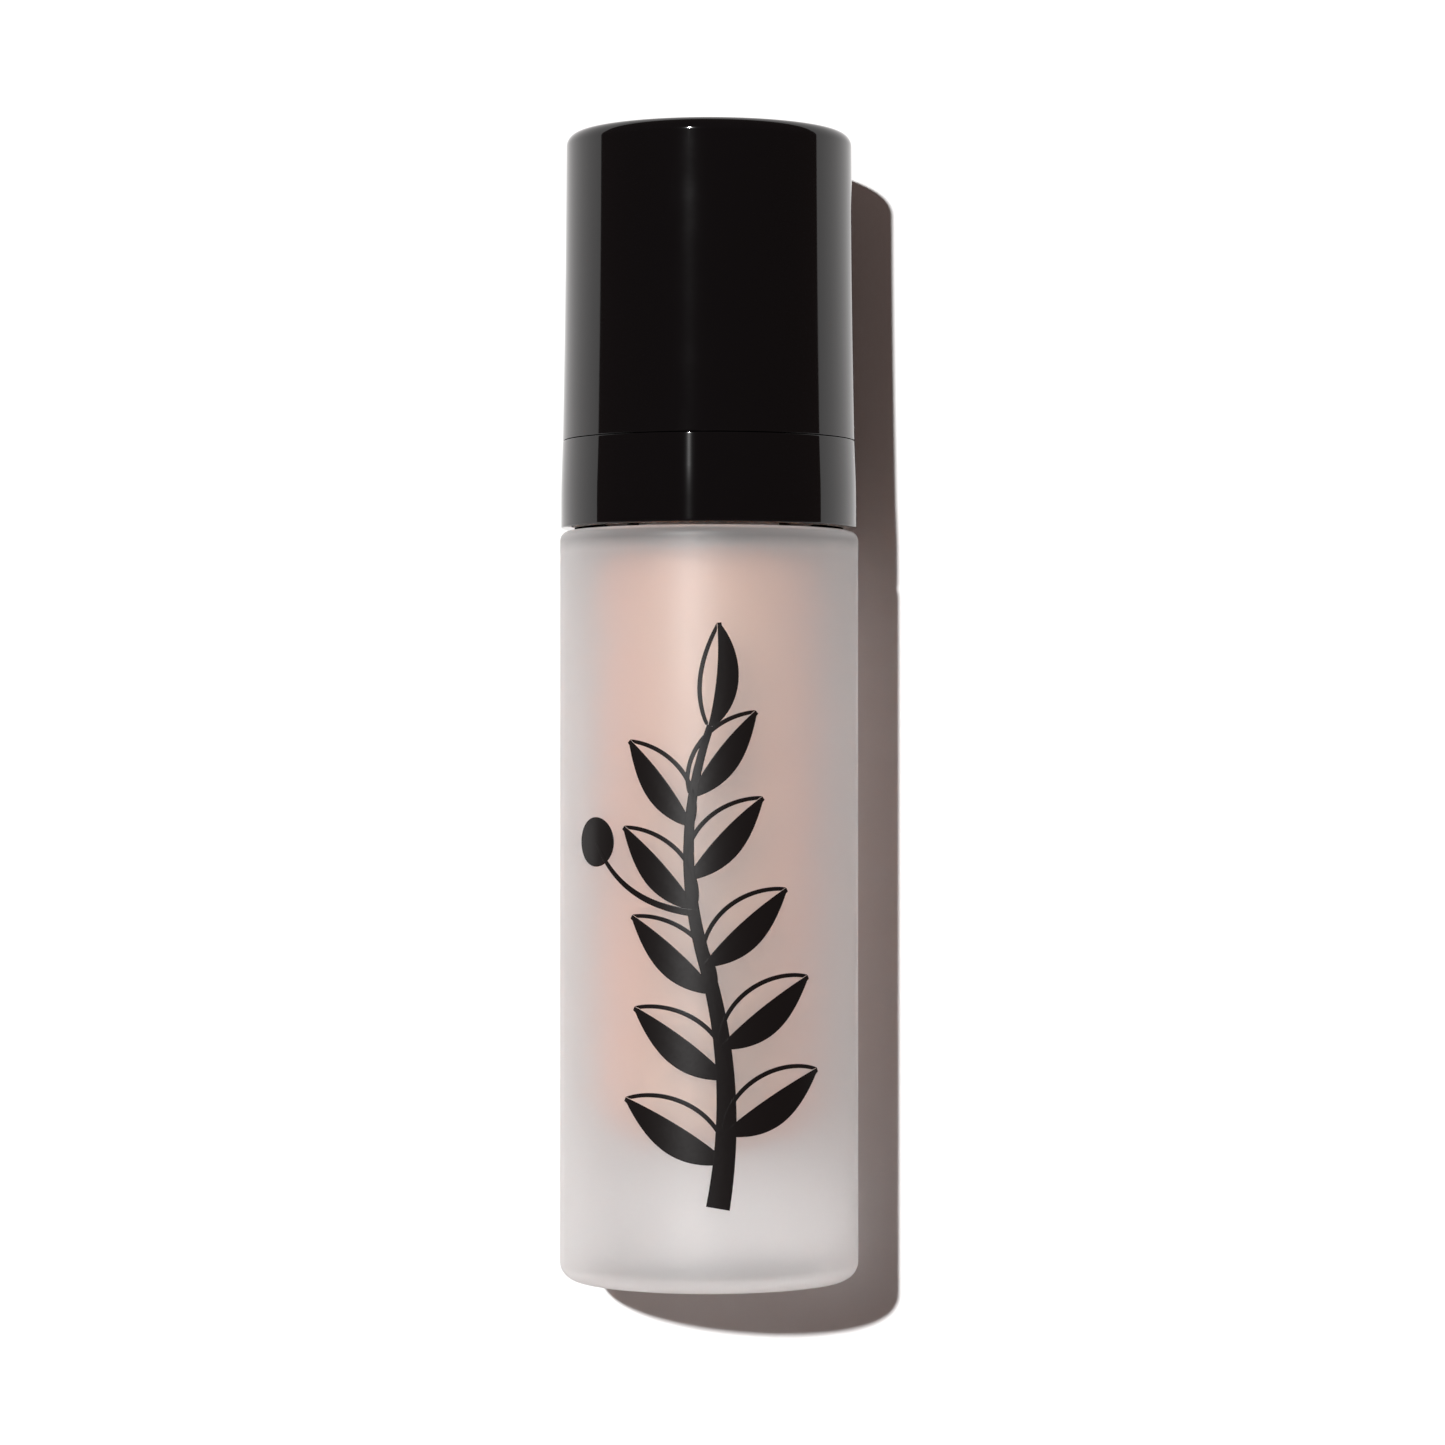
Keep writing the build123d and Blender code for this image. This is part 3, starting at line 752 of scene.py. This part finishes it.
def make_sprig(material):
    """Upright sprig: pairs of broad leaves on a swaying stem, and a berry on a thin stalk."""
    mesh_data = bmesh.new()
    print_stalk(mesh_data, SPRIG_FOOT, SPRIG_LOW_BEND, SPRIG_WAIST, 2.6 * MM, 1.5 * MM)
    print_stalk(mesh_data, SPRIG_WAIST, SPRIG_HIGH_BEND, SPRIG_TIP, 1.5 * MM, 0.8 * MM)
    print_leaf(mesh_data, SPRIG_TIP, math.radians(5), 11.2 * MM, 6.2 * MM, 0.9 * MM, -1)
    low_stem, _ = bent_line(SPRIG_FOOT, SPRIG_LOW_BEND, SPRIG_WAIST, STEM_STEPS)
    high_stem, _ = bent_line(SPRIG_WAIST, SPRIG_HIGH_BEND, SPRIG_TIP, STEM_STEPS)
    stem = low_stem + high_stem
    for index in range(SPRIG_PAIRS):
        grown = index / (SPRIG_PAIRS - 1)
        for hand, stagger in ((-1, 0.0), (1, PAIR_STAGGER)):
            level = PAIR_BASE + PAIR_SPACING * index + stagger
            root = min(stem, key=lambda point: abs(point.y - level))
            angle = hand * (LEAF_LEAN - STEEPER_AT_TOP * grown)
            length = LEAF_LENGTH - SHORTER_AT_TOP * grown
            width = LEAF_WIDTH - NARROWER_AT_TOP * grown
            print_leaf(mesh_data, root, angle, length, width, -hand * LEAF_BOW, -hand)
    print_stalk(mesh_data, BERRY_ROOT, BERRY_BEND, BERRY, 0.8 * MM, 0.45 * MM)
    print_berry(mesh_data, BERRY, BERRY_SIZE)
    sprig = finished_object("printed_sprig", mesh_data, material, 50)
    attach(sprig, "bottle")


# ---- collar and overcap ------------------------------------------------------------------------

def make_collar(material):
    skin_r = COLLAR_BASE_R - COLLAR_SKIN
    bore_r = CLOSURE_R + 0.03 * MM
    inner_base = COLLAR_BASE + 0.6 * MM
    deck = CLOSURE_TOP + 0.02 * MM
    outline = [
        (bore_r, inner_base),
        (SLEEVE_INNER_R, inner_base),
        (SLEEVE_INNER_R, COLLAR_WEB, 0.3 * MM),
        (skin_r, COLLAR_WEB, 0.3 * MM),
        (skin_r, COLLAR_BASE),
        (COLLAR_BASE_R + 0.005 * MM, COLLAR_BASE, 0.2 * MM),
        (COLLAR_BELLY_R, COLLAR_BELLY, COLLAR_CURVE_R),
        (COLLAR_TOP_R, SEAM, SEAM_CORNER),
        (SLEEVE_R, SEAM, 0.1 * MM),
        (SLEEVE_R, SLEEVE_TOP, 0.8 * MM),
        (COLLAR_HOLE_R, SLEEVE_TOP, 0.4 * MM),
        (COLLAR_HOLE_R, deck),
        (bore_r, deck),
    ]
    collar = turned("collar_cover", outline, material)
    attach(collar, "closure")
    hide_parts("collar_shroud")


def make_overcap(material):
    roof = CAP_TOP - CAP_ROOF
    outline = [
        (0, roof),
        (CAP_INNER_R, roof, 0.3 * MM),
        (CAP_INNER_R, CAP_BASE),
        (CAP_BASE_R, CAP_BASE, SEAM_CORNER),
        (CAP_WAIST_R, CAP_WAIST, CAP_FLARE_R),
        (CAP_TOP_R, CAP_TOP, CAP_EDGE_R),
        (0, CAP_TOP),
    ]
    overcap = turned("overcap_cover", outline, material)
    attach(overcap, "overcap")
    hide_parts("overcap_shell")


# ---- return spring -----------------------------------------------------------------------------

def make_spring(material):
    """Coil spring under the piston rod, which shortens as the pump is pressed."""
    low = base_of("return_spring")
    high = top_of("return_spring")
    steps = SPRING_TURNS * STEPS_A_TURN
    mesh_data = bmesh.new()
    rings = []
    for step in range(steps + 1):
        share = step / steps
        angle = TURN * SPRING_TURNS * share
        outwards = Vector((math.cos(angle), math.sin(angle), 0))
        level = low + WIRE_R + (high - low - 2 * WIRE_R) * share
        centre = outwards * SPRING_MEAN_R + Vector((0, 0, level))
        ring = []
        for side in range(WIRE_SIDES):
            turn = TURN * side / WIRE_SIDES
            reach = outwards * math.cos(turn) + Vector((0, 0, math.sin(turn)))
            ring.append(mesh_data.verts.new(centre + reach * WIRE_R))
        rings.append(ring)
    for back, ahead in zip(rings, rings[1:]):
        for side in range(WIRE_SIDES):
            after = (side + 1) % WIRE_SIDES
            mesh_data.faces.new((back[side], back[after], ahead[after], ahead[side]))
    for end in (rings[0], rings[-1]):
        mesh_data.faces.new(end)
    coil = finished_object("return_coil", mesh_data, material, 50)
    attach(coil, "pump_body")
    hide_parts("return_spring")
    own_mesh(coil)


# ---- carried-over parts ------------------------------------------------------------------------

def refinish(material, *nodes):
    """Gives parts that keep their own shape a better material."""
    for node in nodes:
        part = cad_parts[node]
        part.data.materials.clear()
        part.data.materials.append(material)


def make_stage():
    """Pale table top behind the bottle, seen only from its front side."""
    material, nodes, links, shader = new_material(
        "table_paint", Roughness=0.9, Specular_IOR_Level=0.0)
    paint = place_group(nodes, EVEN_GRAIN, Scale=40.0, Low=0.0, High=1.0)
    blend_colours(
        nodes, links, shader, paint.outputs["Value"],
        (0.895, 0.895, 0.895, 1), (0.905, 0.905, 0.905, 1))
    clear = nodes.new("ShaderNodeBsdfTransparent")
    sides = nodes.new("ShaderNodeMixShader")
    links.new(nodes.new("ShaderNodeNewGeometry").outputs["Backfacing"], sides.inputs["Fac"])
    links.new(shader.outputs["BSDF"], sides.inputs[1])
    links.new(clear.outputs["BSDF"], sides.inputs[2])
    links.new(sides.outputs["Shader"], nodes["Material Output"].inputs["Surface"])
    mesh = bpy.data.meshes.new("table_top")
    corners = [(-1, -1), (1, -1), (1, 1), (-1, 1)]
    points = [(x * TABLE_HALF, GLASS_R, z * TABLE_HALF) for x, z in corners]
    mesh.from_pydata(points, [], [(0, 1, 2, 3)])
    mesh.materials.append(material)
    table = bpy.data.objects.new("table_top", mesh)
    bpy.context.collection.objects.link(table)


def make_room():
    """Dim room that lights softly, with a pale backdrop for the camera."""
    world = bpy.data.worlds.new("room")
    bpy.context.scene.world = world
    world.use_nodes = True
    nodes, links = world.node_tree.nodes, world.node_tree.links
    room = nodes["Background"]
    room.inputs["Color"].default_value = ROOM_COLOUR
    backdrop = nodes.new("ShaderNodeBackground")
    backdrop.inputs["Color"].default_value = BACKDROP_COLOUR
    choice = nodes.new("ShaderNodeMixShader")
    links.new(nodes.new("ShaderNodeLightPath").outputs["Is Camera Ray"], choice.inputs["Fac"])
    links.new(room.outputs["Background"], choice.inputs[1])
    links.new(backdrop.outputs["Background"], choice.inputs[2])
    links.new(choice.outputs["Shader"], nodes["World Output"].inputs["Surface"])


def make_lamp():
    data = bpy.data.lights.new("studio_lamp", "SUN")
    data.energy = LAMP_POWER
    data.angle = LAMP_WIDTH
    lamp = bpy.data.objects.new("studio_lamp", data)
    lamp.rotation_mode = "QUATERNION"
    lamp.rotation_quaternion = Vector(LAMP_TOWARDS).to_track_quat("Z", "Y")
    bpy.context.collection.objects.link(lamp)


def make_camera():
    data = bpy.data.cameras.new("camera")
    data.sensor_width = SENSOR
    data.lens = SENSOR * VIEW_DISTANCE / VIEW_WIDTH
    data.clip_start = 0.01
    camera = bpy.data.objects.new("camera", data)
    camera.location = (VIEW_SIDE, -VIEW_DISTANCE, VIEW_HEIGHT)
    tilt = math.atan((VIEW_AIM - VIEW_HEIGHT) / VIEW_DISTANCE)
    camera.rotation_euler = (math.radians(90) + tilt, 0, 0)
    bpy.context.collection.objects.link(camera)
    bpy.context.scene.camera = camera
    bpy.context.scene.view_settings.view_transform = "Standard"


make_camera()
make_lamp()
make_room()
make_stage()

GLASS = frosted_glass()
LIQUID = foundation_liquid()
INK = printed_ink()
GLOSS_BLACK = piano_black()
SATIN_BLACK = satin_plastic("satin_black", (0.010, 0.010, 0.011, 1), (0.018, 0.018, 0.019, 1))
LINER_BLACK = satin_plastic(
    "liner_black", (0.020, 0.020, 0.021, 1), (0.032, 0.032, 0.034, 1),
    grain=1000.0, rough=(0.30, 0.42))
MILKY = natural_polypropylene()
SOFT_SEAL = satin_plastic(
    "soft_seal", (0.70, 0.70, 0.69, 1), (0.78, 0.78, 0.77, 1),
    grain=1800.0, rough=(0.6, 0.8), bump=0.5)

make_glass(GLASS)
make_foundation(LIQUID)
make_sprig(INK)
make_collar(piano_black("spun_black", clean=0.052, smudged=0.06, spun=0.83))
make_overcap(GLOSS_BLACK)
make_spring(drawn_steel())

refinish(GLOSS_BLACK, "actuator_shell")
refinish(SATIN_BLACK, "actuator_core", "nozzle_insert", "screw_closure")
refinish(LINER_BLACK, "overcap_liner")
refinish(MILKY, "dip_tube", "pump_housing", "housing_cap", "piston_seal", "piston_rod", "pump_stem")
refinish(SOFT_SEAL, "neck_gasket", "stem_gasket")
refinish(polished_steel(), "ball_valve")
refinish(label_film(), "base_label")
